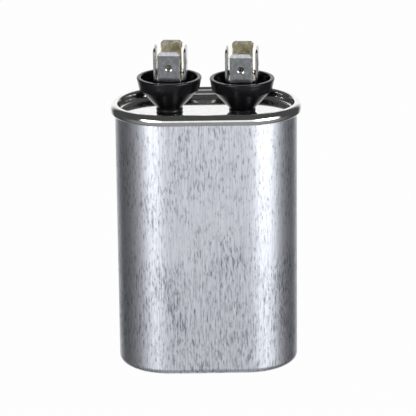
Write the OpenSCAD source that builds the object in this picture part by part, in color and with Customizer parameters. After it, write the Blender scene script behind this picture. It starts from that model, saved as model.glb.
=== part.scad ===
// Motor run capacitor in an oval drawn can: a double-seamed cover carries two moulded terminal
// cups, each with a four-blade quick-connect terminal, over a wound film element.
// Millimetres, +Z up, origin on the floor at the middle of the can, +X along its long side.

/* [Can] */
// Length of the can over its round ends
can_length = 52.1; // [48:0.1:70]
// Width of the can across its flat sides
can_width = 30.5; // [28:0.1:40]
// Height from the floor to the underside of the seam
can_height = 75.2; // [50:0.1:120]
// Thickness of the drawn wall and base
can_wall = 0.5; // [0.35:0.05:0.8]
// Outside radius between the wall and the base
can_corner = 1.8; // [1.2:0.1:3]

/* [Double seam and cover] */
// Height of the seam from its underside to its crown
seam_height = 3; // [2.7:0.1:4]
// Thickness of the tinplate cover
cover_gauge = 0.35; // [0.25:0.05:0.4]
// Play between neighbouring layers of the seam
seam_play = 0.07; // [0.05:0.01:0.1]
// Radius over the inner edge of the crown
crown_r = 0.93; // [0.8:0.01:1]
// Drop from the crown to where the seam's sloping shoulder turns upright
shoulder_drop = 1.7; // [1.5:0.05:2]
// Depth of the cover panel below the crown of the seam
panel_depth = 2.8; // [2.5:0.1:4]
// Radius where the chuck wall turns into the panel
panel_fillet = 1; // [0.6:0.1:1.1]

/* [Terminal cup] */
// Distance between the two terminal axes
terminal_spacing = 20.8; // [19.5:0.1:26]
// Turn of each terminal about its own axis, clockwise from above
terminal_twist = 4; // [0:1:10]
// How much lower the right cup sits, its gasket being squeezed further
right_drop = 0.6; // [0:0.1:0.7]
// Outside diameter of the cup at its rim
cup_rim_d = 18.6; // [17:0.1:19.2]
// Outside diameter of the cup where its band meets the cone
cup_band_d = 17.2; // [16:0.1:18]
// Height of the upright band
cup_band_height = 3.55; // [3:0.05:4.5]
// Wall of the cup at its rim
cup_wall = 1.25; // [1:0.05:1.5]
// Rim of the left cup above the cover panel
cup_height = 10.15; // [9.5:0.05:11]
// Diameter of the cone's foot, which stands on the gasket
cup_foot_d = 7; // [6.8:0.1:8]
// Depth of the well around the hub
cup_well_depth = 3.1; // [2.5:0.1:3.5]
// Diameter of the hub that carries the terminal
cup_hub_d = 8.8; // [8:0.1:9.4]
// Top of the hub below the rim of the cup
hub_drop = 0.95; // [0.5:0.05:1.5]
// Rounding of the lip
cup_lip_r = 0.35; // [0.2:0.05:0.45]
// Diameter of the spigot that passes through the cover
spigot_d = 5.6; // [5:0.1:6]
// Length of the spigot under the cover
spigot_below = 0.9; // [0.6:0.1:1.2]

/* [Gasket and inner insulator] */
// Height of the left gasket between the panel and the neck
gasket_height = 1.1; // [0.9:0.05:1.3]
// Outside diameter of the gasket
gasket_d = 7.7; // [7.4:0.1:9]
// Diameter of the inner insulator
insulator_d = 11.4; // [10:0.1:13]
// Thickness of the inner insulator
insulator_height = 2.3; // [2.2:0.1:3]

/* [Quad terminal] */
// Width of each blade
blade_width = 6.35; // [5:0.05:6.4]
// Thickness of the sheet
blade_thick = 0.75; // [0.6:0.05:0.9]
// Height from the underside of the base to the tips of the side blades
terminal_height = 9.7; // [9:0.1:12]
// How much taller the back blade stands, the blank sitting off centre
back_extra = 0.4; // [0:0.05:0.6]
// How much shorter the right terminal's front blade stands
right_front_short = 0.3; // [0:0.05:0.6]
// How far the left terminal's blades sit off the rivet, towards the middle of the can
left_tab_shift = 0.4; // [0:0.05:0.5]
// Span over the left and right blades, at the base
side_span = 9.4; // [9:0.1:10]
// Span over the front and back blades, at the base
front_span = 12.6; // [10:0.1:13]
// Outward lean of the front and back blades
front_lean = 4; // [0:0.5:6]
// Inside radius of each bend
bend_r = 0.4; // [0.3:0.1:0.8]
// Corner cut at the tip
tip_corner = 0.8; // [0.5:0.1:1.2]
// Length of the bevel that thins the tip
tip_bevel = 0.9; // [0.5:0.1:1.2]
// Thickness left at the tip
tip_thick = 0.4; // [0.3:0.05:0.5]
// Width of the coined chamfer along the edges
coin = 0.3; // [0.2:0.01:0.4]
// Depth of the coined chamfer
coin_depth = 0.12; // [0.08:0.01:0.2]
// Length below the tip that is left uncoined
coin_stop = 2.1; // [1.5:0.1:3]
// Diameter of the detent hole
detent_d = 1.5; // [1.3:0.05:2]
// Distance from the tip to the middle of the detent hole
detent_from_tip = 4.6; // [4:0.1:5]
// Width of the countersink round each end of the detent hole
detent_flare = 0.28; // [0.15:0.01:0.4]
// Depth of the countersink
detent_sink = 0.12; // [0.08:0.01:0.2]

/* [Terminal rivet and solder lug] */
// Diameter of the rivet shank
shank_d = 3.2; // [2.8:0.1:3.4]
// Diameter of the rivet head
rivet_head_d = 5; // [4.4:0.1:5.6]
// Height of the rivet head
rivet_head_height = 1; // [0.6:0.1:1.4]
// Diameter of the upset end
upset_d = 4.6; // [4.2:0.1:5.2]
// Height of the upset end
upset_height = 0.8; // [0.5:0.1:1]
// Play between the shank and its holes
shank_play = 0.05; // [0.03:0.01:0.1]
// Diameter of the round part of the lug
lug_d = 6.6; // [6:0.1:8]
// Thickness of the lug
lug_thick = 0.5; // [0.4:0.05:0.8]
// Reach of the lug from the terminal axis to its end
lug_reach = 7; // [6:0.1:8]

/* [Interrupter plate] */
// Height of the skirt between the cover and the plate
skirt_height = 6; // [5.5:0.1:8]
// Thickness of the skirt
skirt_wall = 0.8; // [0.6:0.1:1.2]
// Thickness of the plate
plate_thick = 1.5; // [1:0.1:2.5]
// Gap between the plate and the can
plate_play = 0.4; // [0.2:0.05:0.8]
// Play around each lead in its window
window_play = 0.4; // [0.2:0.05:0.6]

/* [Wound element] */
// Thickness of the base insulator
tray_floor = 1; // [0.6:0.1:2]
// Wall of the base insulator
tray_wall = 0.8; // [0.5:0.1:1.2]
// Height of the base insulator
tray_height = 11; // [6:0.5:20]
// Gap between the base insulator and the can
tray_play = 0.2; // [0.1:0.05:0.4]
// Gap between the wrap and the base insulator
wrap_play = 0.4; // [0.2:0.05:0.6]
// Thickness of the tape wrap
wrap_thick = 0.4; // [0.2:0.05:0.8]
// Height of the wrap above the upper end spray
wrap_above = 1.6; // [1.3:0.1:3]
// Thickness of each sprayed end contact
spray_thick = 0.6; // [0.4:0.1:1]
// Length of the flat winding core
core_length = 16; // [14:0.5:20]
// Width of the winding core
core_width = 6.4; // [5.8:0.1:8]
// Wall of the winding core
core_wall = 1.2; // [0.8:0.1:1.4]

/* [Leads] */
// Width of the tinned strip
lead_width = 3; // [2:0.1:3.4]
// Thickness of the strip
lead_thick = 0.3; // [0.2:0.05:0.4]
// Length of the soldered foot on each end contact
foot_length = 6; // [4:0.5:8]
// Thickness of the insulating sleeve
sleeve_wall = 0.3; // [0.2:0.05:0.4]
// Play between the sleeve and the strip
sleeve_play = 0.05; // [0.03:0.01:0.1]

/* [Hidden] */
$fn = 96;

LEFT = -1;
RIGHT = 1;

// The oval is two half circles about these centres, joined by straight sides
end_x = (can_length - can_width) / 2;
can_r = can_width / 2;
can_inner_r = can_r - can_wall;

// Seam layers, as radii from the end centres: cover hook, body hook, then seaming wall
cover_hook_r = can_r + seam_play;
body_hook_r = cover_hook_r + cover_gauge + seam_play;
seaming_wall_r = body_hook_r + can_wall + seam_play;
seam_r = seaming_wall_r + cover_gauge;
chuck_r = can_inner_r - seam_play - cover_gauge;
curl_outer = (seam_r - cover_hook_r) / 2;
curl_mid_r = (seam_r + cover_hook_r) / 2;
fold_outer = (body_hook_r + can_wall - can_inner_r) / 2;
seam_top_z = can_height + seam_height;
curl_z = can_height + curl_outer;
panel_z = seam_top_z - panel_depth;
panel_under_z = panel_z - cover_gauge;
panel_flat_r = chuck_r - panel_fillet;

// The crown is an arc over the seam's inner edge. A larger arc, the shoulder, slopes from it to
// the upright wall. Its radius is the one that meets the crown arc without a kink, rounded down
// to a hundredth, which lets the two arcs cross.
crown_x = chuck_r + crown_r;
crown_z = seam_top_z - crown_r;
shoulder_z = seam_top_z - shoulder_drop;
slope_x = seam_r - crown_x;
slope_z = crown_z - shoulder_z;
smooth_r = (slope_x ^ 2 + slope_z ^ 2 - crown_r ^ 2) / (2 * (slope_x - crown_r));
shoulder_r = floor(100 * smooth_r) / 100;
shoulder_x = seam_r - shoulder_r;

// Heights in the cup, measured from the panel with the left gasket
hub_z = cup_height - hub_drop;
band_z = cup_height - cup_band_height;
well_z = cup_height - cup_well_depth;
shank_r = shank_d / 2;
shank_hole_r = shank_r + shank_play;
spigot_hole_r = spigot_d / 2 + shank_play;
counterbore = spigot_below + right_drop + shank_play;

// Heights below the cover
lug_z = panel_under_z - insulator_height - lug_thick;
plate_top_z = panel_under_z - skirt_height;
plate_z = plate_top_z - plate_thick;
spray_top_z = plate_z - wrap_above;
tray_top_z = can_wall + tray_floor;
spray_bottom_z = tray_top_z + lead_thick;
roll_z = spray_bottom_z + spray_thick;
roll_height = spray_top_z - spray_thick - roll_z;

// Radii in the can
tray_outer_r = can_inner_r - tray_play;
wrap_outer_r = tray_outer_r - tray_wall - wrap_play;
roll_r = wrap_outer_r - wrap_thick;
core_end_x = (core_length - core_width) / 2;

// Where each lead rises to its lug, inboard of the terminal axis
lead_rise_x = terminal_spacing / 2 - lug_reach + lead_thick;
sleeve_gap = sleeve_wall + sleeve_play;
lead_cross_z = spray_top_z + sleeve_gap;

// Sweeps a profile, drawn as radius and height, round an oval with the given end centres
module oval_sweep(centre_x) {
    for (side = [LEFT, RIGHT])
        translate([side * centre_x, 0, 0])
            rotate([0, 0, -90 * side])
                rotate_extrude(angle = 180) children();
    translate([-centre_x, 0, 0])
        rotate([90, 0, 90])
            linear_extrude(2 * centre_x) {
                children();
                mirror([1, 0]) children();
            }
}

// An oval plate or, with a bore, an oval ring
module oval_ring(centre_x, r, height, bore_r = 0) {
    difference() {
        oval_sweep(centre_x) square([r, height]);
        if (bore_r > 0)
            translate([0, 0, -1]) oval_sweep(centre_x) square([bore_r, height + 2]);
    }
}

// Half of a sheet fold in section, open downwards
module fold_up(outer, gauge) {
    intersection() {
        difference() {
            circle(outer);
            circle(outer - gauge);
        }
        translate([-2 * outer, 0]) square([4 * outer, 2 * outer]);
    }
}

// Places a piece on the axis of one terminal, at the height of the cover panel
module at_terminal(side) {
    translate([side * terminal_spacing / 2, 0, panel_z]) children();
}

// Places a piece that the squeezed gasket lowers and that is turned with the terminal
module on_gasket(side) {
    at_terminal(side)
        translate([0, 0, -drop(side)])
            rotate([0, 0, -terminal_twist]) children();
}

function drop(side) = side == RIGHT ? right_drop : 0;

// Solid of the can in section: a wall with a rounded foot
module can_block(r, height, corner) {
    square([r - corner, height]);
    translate([0, corner]) square([r, height - corner]);
    translate([r - corner, corner]) circle(corner);
}

module can_section() {
    difference() {
        can_block(can_r, shoulder_z, can_corner);
        translate([0, can_wall])
            can_block(can_inner_r, shoulder_z, can_corner - can_wall);
    }
    translate([can_inner_r + fold_outer, shoulder_z]) fold_up(fold_outer, can_wall);
    translate([body_hook_r, curl_z]) square([can_wall, shoulder_z - curl_z]);
}

module can() {
    color([0.73, 0.75, 0.77]) oval_sweep(end_x) can_section();
}

// Outline of the seam above the foot of its shoulder, set in by the given distance
module crown_shape(inset) {
    reach = 4;
    intersection() {
        union() {
            translate([crown_x, crown_z]) circle(crown_r - inset);
            translate([chuck_r + inset, shoulder_z]) square([crown_r - inset, slope_z]);
            // Shoulder, up to the line through the centres of both arcs
            translate([shoulder_x, shoulder_z])
                intersection() {
                    circle(shoulder_r - inset);
                    polygon([
                        [0, 0], [reach * shoulder_r, 0],
                        [reach * (crown_x - shoulder_x), reach * slope_z],
                    ]);
                }
        }
        translate([chuck_r - crown_r, shoulder_z]) square(2 * (seam_r - chuck_r));
    }
}

module cover_section() {
    translate([0, panel_under_z]) square([panel_flat_r, cover_gauge]);
    // Fillet from the panel up to the chuck wall
    translate([panel_flat_r, panel_z + panel_fillet])
        intersection() {
            difference() {
                circle(panel_fillet + cover_gauge);
                circle(panel_fillet);
            }
            translate([0, -2 * panel_fillet]) square(2 * panel_fillet);
        }
    translate([chuck_r, panel_z + panel_fillet])
        square([cover_gauge, crown_z - panel_z - panel_fillet]);
    difference() {
        crown_shape(0);
        crown_shape(cover_gauge);
    }
    translate([seaming_wall_r, curl_z]) square([cover_gauge, shoulder_z - curl_z]);
    translate([curl_mid_r, curl_z]) mirror([0, 1]) fold_up(curl_outer, cover_gauge);
    translate([cover_hook_r, curl_z]) square([cover_gauge, shoulder_z - curl_z]);
}

module cover() {
    color([0.62, 0.6, 0.56])
        difference() {
            oval_sweep(end_x) cover_section();
            for (side = [LEFT, RIGHT])
                at_terminal(side)
                    translate([0, 0, -cover_gauge - 1])
                        cylinder(h = cover_gauge + 2, r = spigot_hole_r);
        }
}

// Fills the seam between the cover and the top of the body hook
module seam_compound() {
    clearance = 0.02;
    color([0.35, 0.35, 0.33])
        oval_sweep(end_x)
            difference() {
                crown_shape(cover_gauge + clearance);
                translate([can_inner_r + fold_outer, shoulder_z]) circle(fold_outer + clearance);
                translate([chuck_r, shoulder_z - fold_outer / 2])
                    square([seam_r - chuck_r, fold_outer]);
            }
}

module cup_section() {
    rim_r = cup_rim_d / 2;
    band_r = cup_band_d / 2;
    well_r = band_r - cup_wall;
    lip_z = cup_height - cup_lip_r;
    polygon([
        [shank_hole_r, -cover_gauge - spigot_below],
        [spigot_d / 2, -cover_gauge - spigot_below],
        [spigot_d / 2, gasket_height],
        [cup_foot_d / 2, gasket_height],
        [band_r, band_z],
        [rim_r, lip_z],
        [rim_r - cup_lip_r, cup_height],
        [rim_r - cup_wall + cup_lip_r, cup_height],
        [rim_r - cup_wall, lip_z],
        [well_r, well_z],
        [cup_hub_d / 2, well_z],
        [cup_hub_d / 2, hub_z],
        [shank_hole_r, hub_z],
    ]);
    // Rounded lip
    translate([rim_r - cup_lip_r, lip_z]) circle(cup_lip_r);
    translate([rim_r - cup_wall + cup_lip_r, lip_z]) circle(cup_lip_r);
}

module terminal_cup(side) {
    color([0.1, 0.1, 0.11])
        on_gasket(side) rotate_extrude() cup_section();
}

// Squeezed ring in section: flat above and below, bulging outwards
module gasket_section(height) {
    bulge_r = 0.6 * height;
    bulge_mid = gasket_d / 2 - bulge_r;
    translate([spigot_hole_r, 0]) square([bulge_mid - spigot_hole_r, height]);
    intersection() {
        translate([bulge_mid, height / 2]) circle(bulge_r);
        translate([bulge_mid, 0]) square([bulge_r, height]);
    }
}

module cup_gasket(side) {
    color([0.05, 0.05, 0.05])
        at_terminal(side)
            rotate_extrude() gasket_section(gasket_height - drop(side));
}

// Section of the sheet with coined edges, the chamfers at the given share of their full size
module strip_section(share = 1) {
    t = blade_thick / 2;
    w = blade_width / 2;
    thin = t - share * coin_depth;
    flat = w - share * coin;
    polygon([
        [-thin, -w], [thin, -w], [t, -flat], [t, flat], [thin, w], [-thin, w], [-t, flat], [-t, -flat],
    ]);
}

// A straight blade along +Y, thick in X and wide in Z, with its tip at the far end
module blade(length) {
    w = blade_width / 2;
    t = blade_thick / 2;
    difference() {
        intersection() {
            rotate([-90, 0, 0]) {
                linear_extrude(length - coin_stop) strip_section();
                translate([0, 0, length - coin_stop])
                    linear_extrude(coin_stop) strip_section(1 / 4);
            }
            // Outline seen on the flat, with its corner cuts
            translate([-blade_thick, 0, 0])
                rotate([90, 0, 90])
                    linear_extrude(2 * blade_thick)
                        polygon([
                            [0, -w], [length - tip_corner, -w], [length, -w + tip_corner],
                            [length, w - tip_corner], [length - tip_corner, w], [0, w],
                        ]);
            // Outline seen on the edge, with its tip bevels
            translate([0, 0, -blade_width])
                linear_extrude(2 * blade_width)
                    polygon([
                        [-t, 0], [t, 0], [t, length - tip_bevel], [tip_thick / 2, length],
                        [-tip_thick / 2, length], [-t, length - tip_bevel],
                    ]);
        }
        translate([0, length - detent_from_tip, 0])
            rotate([0, 90, 0]) {
                translate([0, 0, -blade_thick]) cylinder(h = 2 * blade_thick, d = detent_d);
                for (face = [LEFT, RIGHT])
                    translate([0, 0, face * (t - detent_sink / 2)])
                        cylinder(h = detent_sink + 0.01, center = true,
                            r1 = detent_d / 2 + (face == LEFT ? detent_flare : 0),
                            r2 = detent_d / 2 + (face == RIGHT ? detent_flare : 0));
            }
    }
}

// One arm of the cross: base strip along +Y, bend, then blade, for a span over two blades
module tab_arm(span, height, lean = 0) {
    bend_outer = bend_r + blade_thick;
    mid_r = bend_r + blade_thick / 2;
    bend_y = span / 2 - bend_outer;
    rise = height - bend_outer - mid_r * sin(lean);
    rotate([-90, 0, 0])
        translate([0, -blade_thick / 2, 0])
            linear_extrude(bend_y) rotate([0, 0, 90]) strip_section();
    translate([0, bend_y, bend_outer])
        rotate([90, 0, 90]) {
            rotate([0, 0, -90])
                rotate_extrude(angle = 90 - lean)
                    translate([mid_r, 0]) strip_section();
            rotate([0, 0, -lean])
                translate([mid_r, 0, 0]) blade(rise / cos(lean));
        }
}

module quad_tab(side) {
    front_height = terminal_height - (side == RIGHT ? right_front_short : 0);
    color([0.66, 0.66, 0.6])
        on_gasket(side)
            translate([0, 0, hub_z])
                difference() {
                    translate([side == LEFT ? left_tab_shift : 0, 0, 0]) {
                        tab_arm(front_span, terminal_height + back_extra, front_lean);
                        rotate([0, 0, 180]) tab_arm(front_span, front_height, front_lean);
                        for (turn = [90, -90])
                            rotate([0, 0, turn]) tab_arm(side_span, terminal_height);
                    }
                    translate([0, 0, -1]) cylinder(h = blade_thick + 2, r = shank_hole_r);
                }
}

module rivet_section(side) {
    head_r = rivet_head_d / 2;
    upset_r = upset_d / 2;
    head_z = hub_z - drop(side) + blade_thick;
    head_chamfer = rivet_head_height / 3;
    foot_z = lug_z - panel_z;
    upset_chamfer = upset_height / 2;
    polygon([
        [0, head_z + rivet_head_height], [0, foot_z - upset_height],
        [upset_r - upset_chamfer, foot_z - upset_height], [upset_r, foot_z - upset_chamfer],
        [upset_r, foot_z], [shank_r, foot_z], [shank_r, head_z], [head_r, head_z],
        [head_r, head_z + head_chamfer],
        [head_r - 2 * head_chamfer, head_z + rivet_head_height],
    ]);
}

module terminal_rivet(side) {
    color([0.7, 0.68, 0.6])
        at_terminal(side) rotate_extrude() rivet_section(side);
}

module inner_insulator(side) {
    color([0.16, 0.14, 0.12])
        at_terminal(side)
            translate([0, 0, -cover_gauge - insulator_height])
                difference() {
                    cylinder(h = insulator_height, d = insulator_d);
                    translate([0, 0, -1])
                        cylinder(h = insulator_height + 2, r = shank_hole_r);
                    translate([0, 0, insulator_height - counterbore])
                        cylinder(h = counterbore + 1, r = spigot_hole_r);
                }
}

// A round eye on the rivet with an ear towards the middle of the can
module solder_lug(side) {
    ear_width = lead_width + 2 * lug_thick;
    color([0.75, 0.72, 0.62])
        translate([side * terminal_spacing / 2, 0, lug_z])
            linear_extrude(lug_thick)
                difference() {
                    union() {
                        circle(d = lug_d);
                        translate([side == RIGHT ? -lug_reach : 0, -ear_width / 2])
                            square([lug_reach, ear_width]);
                    }
                    circle(r = shank_hole_r);
                }
}

module interrupter_plate() {
    plate_r = can_inner_r - plate_play;
    window = [lead_thick + 2 * window_play + 2 * sleeve_gap, lead_width + 2 * (window_play + sleeve_gap)];
    color([0.85, 0.83, 0.76])
        difference() {
            union() {
                translate([0, 0, plate_z]) oval_ring(end_x, plate_r, plate_thick);
                translate([0, 0, plate_top_z])
                    oval_ring(end_x, panel_flat_r, skirt_height, panel_flat_r - skirt_wall);
            }
            for (side = [LEFT, RIGHT])
                translate([side * (lead_rise_x - lead_thick / 2), 0, plate_z + plate_thick / 2])
                    cube([window[0], window[1], 2 * plate_thick], center = true);
        }
}

module base_insulator() {
    color([0.88, 0.86, 0.78])
        translate([0, 0, can_wall])
            oval_sweep(end_x)
                difference() {
                    can_block(tray_outer_r, tray_height, can_corner - can_wall);
                    translate([0, tray_floor])
                        square([tray_outer_r - tray_wall, tray_height]);
                }
}

// A layer of the wound element, open at the winding core
module element_layer(z, height) {
    translate([0, 0, z])
        difference() {
            oval_ring(end_x, roll_r, height);
            translate([0, 0, -1]) oval_ring(core_end_x, core_width / 2, height + 2);
        }
}

module film_roll() {
    color([0.78, 0.78, 0.82]) element_layer(roll_z, roll_height);
}

module upper_end_spray() {
    color([0.55, 0.55, 0.55]) element_layer(spray_top_z - spray_thick, spray_thick);
}

module lower_end_spray() {
    color([0.55, 0.55, 0.55]) element_layer(spray_bottom_z, spray_thick);
}

module winding_core() {
    color([0.93, 0.93, 0.9])
        translate([0, 0, spray_bottom_z])
            oval_ring(core_end_x, core_width / 2, spray_top_z - spray_bottom_z,
                core_width / 2 - core_wall);
}

module roll_wrap() {
    color([0.85, 0.75, 0.3])
        translate([0, 0, tray_top_z])
            oval_ring(end_x, wrap_outer_r, plate_z - tray_top_z, roll_r);
}

// A strip of one width, drawn in the XZ plane
module flat_strip(width) {
    rotate([90, 0, 0])
        translate([0, 0, -width / 2])
            linear_extrude(width) children();
}

// Upright of a lead up to its lug, with the foot soldered under the ear
module lug_riser(from_z) {
    translate([lead_rise_x - lead_thick, from_z])
        square([lead_thick, lug_z - from_z]);
    translate([lead_rise_x - lead_thick, lug_z - lead_thick])
        square([lug_reach / 3, lead_thick]);
}

// From the upper end contact straight up to the left lug
module lead_left() {
    color([0.8, 0.8, 0.78])
        mirror([1, 0, 0])
            flat_strip(lead_width) {
                lug_riser(spray_top_z);
                translate([lead_rise_x - lead_thick, spray_top_z])
                    square([foot_length, lead_thick]);
            }
}

// Run of the right lead through the core and across the upper end contact
module crossing_run(grow) {
    translate([-lead_thick / 2 - grow, spray_bottom_z])
        square([lead_thick + 2 * grow, lead_cross_z + lead_thick + grow - spray_bottom_z]);
    translate([-lead_thick / 2 - grow, lead_cross_z - grow])
        square([lead_rise_x + lead_thick / 2 + 2 * grow, lead_thick + 2 * grow]);
}

// From the lower end contact up through the core, then across to the right lug
module lead_right() {
    color([0.8, 0.8, 0.78])
        flat_strip(lead_width) {
            translate([-lead_thick / 2, tray_top_z])
                square([core_length / 2 + foot_length, lead_thick]);
            crossing_run(0);
            lug_riser(lead_cross_z);
        }
}

module lead_sleeve() {
    color([0.75, 0.2, 0.15])
        difference() {
            flat_strip(lead_width + 2 * sleeve_gap) crossing_run(sleeve_gap);
            flat_strip(lead_width + 2 * sleeve_play) {
                crossing_run(sleeve_play);
                translate([-lead_thick / 2 - sleeve_play, spray_bottom_z - 1])
                    square([lead_thick + 2 * sleeve_play, 2]);
                translate([lead_rise_x - lead_thick - sleeve_play, lead_cross_z])
                    square([lead_thick + 2 * sleeve_play, 2]);
            }
        }
}

can();
cover();
seam_compound();
terminal_cup(LEFT);  // terminal_cup_left
terminal_cup(RIGHT);  // terminal_cup_right
quad_tab(LEFT);  // quad_tab_left
quad_tab(RIGHT);  // quad_tab_right
terminal_rivet(LEFT);  // terminal_rivet_left
terminal_rivet(RIGHT);  // terminal_rivet_right
cup_gasket(LEFT);  // cup_gasket_left
cup_gasket(RIGHT);  // cup_gasket_right
inner_insulator(LEFT);  // inner_insulator_left
inner_insulator(RIGHT);  // inner_insulator_right
solder_lug(LEFT);  // solder_lug_left
solder_lug(RIGHT);  // solder_lug_right
interrupter_plate();
base_insulator();
film_roll();
winding_core();
upper_end_spray();
lower_end_spray();
roll_wrap();
lead_left();
lead_right();
lead_sleeve();
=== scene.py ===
"""Looks of an oval motor run capacitor on its CAD frame, with its studio. Metres, +Z up."""

import math

import bpy
from mathutils import Matrix, Vector

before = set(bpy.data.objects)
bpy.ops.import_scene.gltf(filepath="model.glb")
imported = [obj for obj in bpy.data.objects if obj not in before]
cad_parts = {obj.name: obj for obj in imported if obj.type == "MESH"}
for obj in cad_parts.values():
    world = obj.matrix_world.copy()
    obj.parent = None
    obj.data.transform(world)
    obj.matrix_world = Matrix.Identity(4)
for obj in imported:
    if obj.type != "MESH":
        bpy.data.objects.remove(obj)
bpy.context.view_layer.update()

MM = 0.001
TERMINAL_X = 10.4 * MM
WHITE = (1.0, 1.0, 1.0)


class Tone:
    """A socket of a finish. Python's operators on it add the Math nodes that they need."""

    def __init__(self, finish, socket):
        self.finish = finish
        self.socket = socket

    def math(self, operation, *values):
        return self.finish.node("ShaderNodeMath", {"operation": operation}, dict(enumerate(values)))

    def __add__(self, other):
        return self.math("ADD", self, other)

    def __sub__(self, other):
        return self.math("SUBTRACT", self, other)

    def __rsub__(self, other):
        return self.math("SUBTRACT", other, self)

    def __mul__(self, other):
        return self.math("MULTIPLY", self, other)

    def __truediv__(self, other):
        return self.math("DIVIDE", self, other)

    def __abs__(self):
        return self.math("ABSOLUTE", self)

    __radd__ = __add__
    __rmul__ = __mul__

    def between(self, low, high):
        """0 below low and 1 above high, with a soft turn between."""
        settings = {"interpolation_type": "SMOOTHSTEP"}
        ends = {"Value": self, "From Min": low, "From Max": high}
        return self.finish.node("ShaderNodeMapRange", settings, ends)


class Finish:
    """A node tree with its shader, and short names for the nodes that vary it."""

    def __init__(self, owner, shader):
        owner.use_nodes = True
        self.tree = owner.node_tree
        self.tree.nodes.clear()
        self.shader = self.tree.nodes.new(shader)

    def node(self, kind, settings=None, inputs=None, output=0):
        made = self.tree.nodes.new(kind)
        for name, value in (settings or {}).items():
            setattr(made, name, value)
        for name, value in (inputs or {}).items():
            self.put(made, name, value)
        return Tone(self, made.outputs[output])

    def put(self, node, name, value):
        socket = node.inputs[name]
        if isinstance(value, Tone):
            self.tree.links.new(value.socket, socket)
        elif hasattr(socket.default_value, "__len__") and len(socket.default_value) == 4:
            socket.default_value = (*value, 1.0)
        else:
            socket.default_value = value

    def set(self, **values):
        """Puts values or tones on the shader's sockets: base_color stands for Base Color."""
        for name, value in values.items():
            self.put(self.shader, name.replace("_", " ").title().replace("Ior", "IOR"), value)

    def show(self, output="ShaderNodeOutputMaterial", shader=None):
        end = self.tree.nodes.new(output)
        surface = shader.socket if shader else self.shader.outputs[0]
        self.tree.links.new(surface, end.inputs["Surface"])

    def place(self, name="Object"):
        return self.node("ShaderNodeTexCoord", output=name)

    def axes(self, vector):
        """The three parts of a vector."""
        parts = self.node("ShaderNodeSeparateXYZ", inputs={0: vector}).socket.node
        return [Tone(self, part) for part in parts.outputs]

    def stretch(self, vector, scale, shift=(0, 0, 0)):
        settings = {"operation": "MULTIPLY_ADD"}
        return self.node("ShaderNodeVectorMath", settings, {0: vector, 1: scale, 2: shift})

    def noise(self, cell, detail=2.0, rough=0.5, shift=(0, 0, 0)):
        """Noise whose grains are about as large as cell, in metres along X, Y and Z."""
        scaled = self.stretch(self.place(), [1 / size for size in cell], shift)
        inputs = {"Vector": scaled, "Scale": 1.0, "Detail": detail, "Roughness": rough}
        return self.node("ShaderNodeTexNoise", inputs=inputs)

    def blend(self, share, first, second):
        """A colour between first and second."""
        inputs = {"Factor": share, 6: first, 7: second}
        return self.node("ShaderNodeMix", {"data_type": "RGBA"}, inputs, "Result")

    def bump(self, height, depth, strength=1.0):
        inputs = {"Strength": strength, "Distance": depth, "Height": height}
        return self.node("ShaderNodeBump", inputs=inputs)


def metal(name, colour, roughness):
    finish = surface(name, colour, roughness)
    finish.set(metallic=1.0)
    return finish


def surface(name, colour, roughness):
    material = bpy.data.materials.new(name)
    finish = Finish(material, "ShaderNodeBsdfPrincipled")
    finish.material = material
    finish.set(base_color=colour, roughness=roughness)
    finish.show()
    return finish


# Finishes


def drawn_aluminium():
    """Satin wall with upright draw lines, scuffs in patches and dark dashes where it is held."""
    finish = metal("drawn_aluminium", (0.80, 0.83, 0.88), 0.36)
    hairline = finish.noise((0.28 * MM, 0.28 * MM, 7 * MM), 3.0)
    cloud = finish.noise((9 * MM, 9 * MM, 13 * MM), 2.0, shift=(3.1, 0.4, 7.7))
    scuff = finish.noise((0.5 * MM, 0.5 * MM, 2.2 * MM), 3.0, 0.6, (1.7, 5.2, 0.3))
    worn = (scuff + 0.35 * cloud).between(0.66, 0.92)
    _, _, height = finish.axes(finish.place())
    held_at = 22 * MM
    handled = 1 - (abs(height - held_at) / MM).between(8, 20)
    dash = finish.noise((0.28 * MM, 0.28 * MM, 3 * MM), 2.0, 0.5, (6.4, 1.9, 2.8))
    dashes = (dash + 0.12 * handled).between(0.62, 0.76)
    shade = worn * 0.7 + hairline.between(0.35, 0.75) * 0.36 + dashes * 0.4
    finish.set(
        base_color=finish.blend(shade, (0.885, 0.915, 0.985), (0.25, 0.27, 0.32)),
        roughness=0.34 + hairline * 0.14,
        normal=finish.bump(hairline, 0.03 * MM, 0.5),
    )
    return finish


def bright_tinplate():
    """Tinned cover: near mirror, with a faint spangle and rolled lines round the seam."""
    finish = metal("bright_tinplate", (0.86, 0.87, 0.86), 0.08)
    spangle = finish.noise((1.6 * MM, 1.6 * MM, 1.6 * MM), 3.0)
    rolled = finish.noise((6 * MM, 6 * MM, 0.12 * MM), 2.0)
    finish.set(
        base_color=finish.blend(spangle.between(0.3, 0.7), (0.80, 0.80, 0.79), (0.86, 0.87, 0.86)),
        roughness=0.04 + spangle * 0.05,
        normal=finish.bump(rolled, 0.004 * MM, 0.4),
    )
    return finish


def moulded_black():
    """Semi-gloss moulding, its skin a little uneven."""
    finish = surface("moulded_black", (0.008, 0.008, 0.010), 0.2)
    grain = finish.noise((0.25 * MM, 0.25 * MM, 0.25 * MM), 4.0)
    ripple = finish.noise((0.9 * MM, 0.9 * MM, 5 * MM), 2.0)
    finish.set(
        base_color=finish.blend(grain, (0.003, 0.003, 0.004), (0.009, 0.009, 0.011)),
        roughness=0.15 + grain * 0.06,
        normal=finish.bump(ripple + grain * 0.3, 0.01 * MM, 0.4),
    )
    return finish


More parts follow.
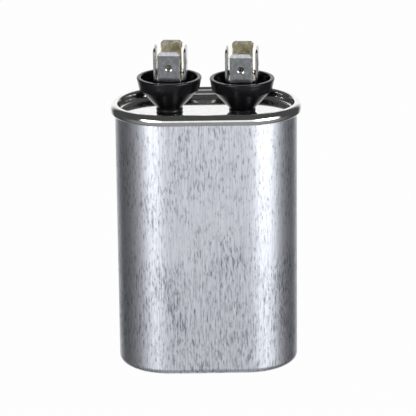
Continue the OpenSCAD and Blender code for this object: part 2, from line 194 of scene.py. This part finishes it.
def tinned_brass(name, axis_x):
    """Cool tin on the faces that look away from the terminal's axis; the faces that look in get a
    painted khaki reflection and shade of the blades facing them.
    """
    finish = metal(name, (0.66, 0.66, 0.63), 0.3)
    across, depth, _ = finish.axes(finish.place())
    reach = 5 * MM
    out_x, out_y, _ = finish.axes(finish.node("ShaderNodeNewGeometry", output="Normal"))
    outward = (out_x * (across - axis_x) + out_y * depth) / reach
    # Share of painted reflection and shade: 1 on faces that turn in towards the terminal's axis
    inward_reflection_share = 1 - outward.between(-0.4, 0.1)
    mottle = finish.noise((0.8 * MM, 0.8 * MM, 1.2 * MM), 4.0)
    speck = finish.noise((0.35 * MM, 0.35 * MM, 0.35 * MM), 3.0, 0.6, (4.1, 2.3, 0.7))
    tin = finish.blend(mottle.between(0.35, 0.7), (0.44, 0.46, 0.49), (0.56, 0.58, 0.61))
    # Painted khaki reflection and shade of the facing blades, used on the inward faces
    painted_khaki_reflection = finish.blend(mottle.between(0.35, 0.7), (0.46, 0.43, 0.32), (0.68, 0.65, 0.54))
    stained = finish.blend(speck.between(0.62, 0.8) * 0.5, tin, (0.30, 0.31, 0.32))
    finish.set(
        base_color=finish.blend(inward_reflection_share, stained, painted_khaki_reflection),
        roughness=0.18 + mottle * 0.12,
        normal=finish.bump(mottle, 0.02 * MM, 0.4),
    )
    return finish


def plain(name, dark, pale, roughness, grain=0.8 * MM, metallic=0.0):
    """An inner piece's finish, mottled between two near colours."""
    finish = surface(name, pale, roughness)
    mottle = finish.noise((grain, grain, grain), 3.0)
    finish.set(
        base_color=finish.blend(mottle, dark, pale),
        roughness=roughness - 0.08 + mottle * 0.16,
        metallic=metallic,
        normal=finish.bump(mottle, 0.02 * MM, 0.4),
    )
    return finish


def dress(finish, *nodes):
    for name in nodes:
        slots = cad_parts[name].data.materials
        slots.clear()
        slots.append(finish.material)


def both(name):
    return [f"{name}_left", f"{name}_right"]


# Studio

EYE_DISTANCE = 0.7966
EYE_RISE = math.radians(17.79)
EYE_SWING = math.radians(-0.384)
EYE_ROLL = math.radians(-0.641)
AIM = Vector((0, 0, 45.78 * MM))
LENS = 237.97
SHIFT = (0.00226, 0.0012)


def camera():
    back = Vector(
        (
            math.sin(EYE_SWING) * math.cos(EYE_RISE),
            -math.cos(EYE_SWING) * math.cos(EYE_RISE),
            math.sin(EYE_RISE),
        )
    )
    level = back.cross(Vector((0, 0, -1))).normalized()
    upright = level.cross(-back)
    right = level * math.cos(EYE_ROLL) + upright * math.sin(EYE_ROLL)
    up = upright * math.cos(EYE_ROLL) - level * math.sin(EYE_ROLL)
    data = bpy.data.cameras.new("camera")
    data.lens = LENS
    data.shift_x, data.shift_y = SHIFT
    eye = bpy.data.objects.new("camera", data)
    turn = Matrix((right, up, back)).transposed().to_4x4()
    eye.matrix_world = Matrix.Translation(AIM + back * EYE_DISTANCE) @ turn
    bpy.context.scene.collection.objects.link(eye)
    bpy.context.scene.camera = eye


def softbox(name, swing, rise, distance, width, height, watts):
    """An area lamp aimed at the part. Swing is to the right of the front, in degrees."""
    swing, rise = math.radians(swing), math.radians(rise)
    way = Vector(
        (math.sin(swing) * math.cos(rise), -math.cos(swing) * math.cos(rise), math.sin(rise))
    )
    data = bpy.data.lights.new(name, "AREA")
    data.shape = "RECTANGLE"
    data.size, data.size_y = width, height
    data.energy = watts
    lamp = bpy.data.objects.new(name, data)
    lamp.location = AIM + way * distance
    lamp.rotation_euler = way.to_track_quat("Z", "Y").to_euler()
    bpy.context.scene.collection.objects.link(lamp)


def sky():
    """White behind the part, bright cards over a dim table before it, dark at its sides.

    Shiny faces see these. Matt faces see one plain level, and the camera sees white.
    """
    world = bpy.data.worlds.new("studio")
    bpy.context.scene.world = world
    finish = Finish(world, "ShaderNodeBackground")
    across, depth, height = finish.axes(finish.place("Generated"))
    swing = across.math("ARCTAN2", across, -1 * depth) * (180 / math.pi)
    rise = height.math("ARCSINE", height) * (180 / math.pi)

    def across_front(middle, half, soft):
        """1 within half of the middle, in degrees to the right of the front."""
        return 1 - abs(swing - middle).between(half - soft, half + soft)

    def below(top, soft):
        return 1 - rise.between(top - soft, top + soft)

    above_table = rise.between(-13, -5)
    table = across_front(0, 75, 35) * (1 - above_table) * 0.24
    front_card = across_front(0, 50, 14) * below(13, 2) * above_table
    left_card = across_front(-32, 13, 9) * below(15, 7) * above_table * 3.9
    right_card = across_front(46, 20, 12) * below(15, 7) * above_table * 4.5
    backdrop = (1 - across_front(0, 146, 14)) * below(45, 10)
    room = 0.07
    level = room + table + front_card + left_card + right_card + backdrop * 0.98
    plain_level = 0.55
    spread = finish.node("ShaderNodeLightPath", output="Is Diffuse Ray")
    level = level + spread * (plain_level - level)
    seen = finish.node("ShaderNodeLightPath", output="Is Camera Ray")
    finish.set(color=WHITE, strength=level + seen * (1 - level))
    finish.show("ShaderNodeOutputWorld")


def floor():
    """White table that keeps the part's shadow."""
    side = 2.0
    mesh = bpy.data.meshes.new("floor")
    corners = [(-side, -side, 0), (side, -side, 0), (side, side, 0), (-side, side, 0)]
    mesh.from_pydata(corners, [], [(0, 1, 2, 3)])
    ground = bpy.data.objects.new("floor", mesh)
    bpy.context.scene.collection.objects.link(ground)
    material = bpy.data.materials.new("white_table")
    finish = Finish(material, "ShaderNodeBsdfDiffuse")
    finish.set(color=(0.8, 0.8, 0.8))
    matt = Tone(finish, finish.shader.outputs[0])
    seen = finish.node("ShaderNodeLightPath", output="Is Camera Ray")
    glow = finish.node("ShaderNodeEmission", inputs={"Color": WHITE, "Strength": 1.0})
    share = seen * 0.97
    mixed = finish.node("ShaderNodeMixShader", inputs={0: share, 1: matt, 2: glow})
    finish.show(shader=mixed)
    mesh.materials.append(material)
    ground.visible_glossy = False


bpy.context.scene.view_settings.view_transform = "Standard"
camera()
sky()
floor()
softbox("left_softbox", swing=-44, rise=9, distance=1.2, width=0.44, height=0.36, watts=2.6)
softbox("right_softbox", swing=47, rise=9, distance=1.2, width=0.48, height=0.36, watts=3.0)

dress(drawn_aluminium(), "can")
dress(bright_tinplate(), "cover")
dress(moulded_black(), *both("terminal_cup"))
for side, place in (("left", -1), ("right", 1)):
    tin = tinned_brass(f"tinned_brass_{side}", place * TERMINAL_X)
    dress(tin, f"quad_tab_{side}", f"terminal_rivet_{side}")
dress(plain("gasket_rubber", (0.012, 0.012, 0.012), (0.03, 0.03, 0.03), 0.12), *both("cup_gasket"))
dress(plain("sealing_compound", (0.16, 0.16, 0.15), (0.26, 0.26, 0.25), 0.7), "seam_compound")
dress(plain("insulator_board", (0.12, 0.10, 0.08), (0.20, 0.17, 0.14), 0.6), *both("inner_insulator"))
dress(
    plain("natural_moulding", (0.76, 0.73, 0.65), (0.86, 0.84, 0.77), 0.45),
    "interrupter_plate", "base_insulator", "winding_core",
)
dress(plain("film_edges", (0.62, 0.63, 0.66), (0.76, 0.77, 0.80), 0.35, 0.3 * MM), "film_roll")
dress(
    plain("sprayed_zinc", (0.38, 0.38, 0.38), (0.58, 0.58, 0.58), 0.6, 0.3 * MM, 0.8),
    "upper_end_spray", "lower_end_spray",
)
dress(plain("wrap_tape", (0.74, 0.62, 0.20), (0.86, 0.76, 0.32), 0.3), "roll_wrap")
dress(
    plain("tinned_strip", (0.66, 0.66, 0.64), (0.80, 0.80, 0.78), 0.3, 0.6 * MM, 1.0),
    *both("solder_lug"), *both("lead"),
)
dress(plain("red_sleeve", (0.60, 0.12, 0.08), (0.76, 0.20, 0.14), 0.4), "lead_sleeve")
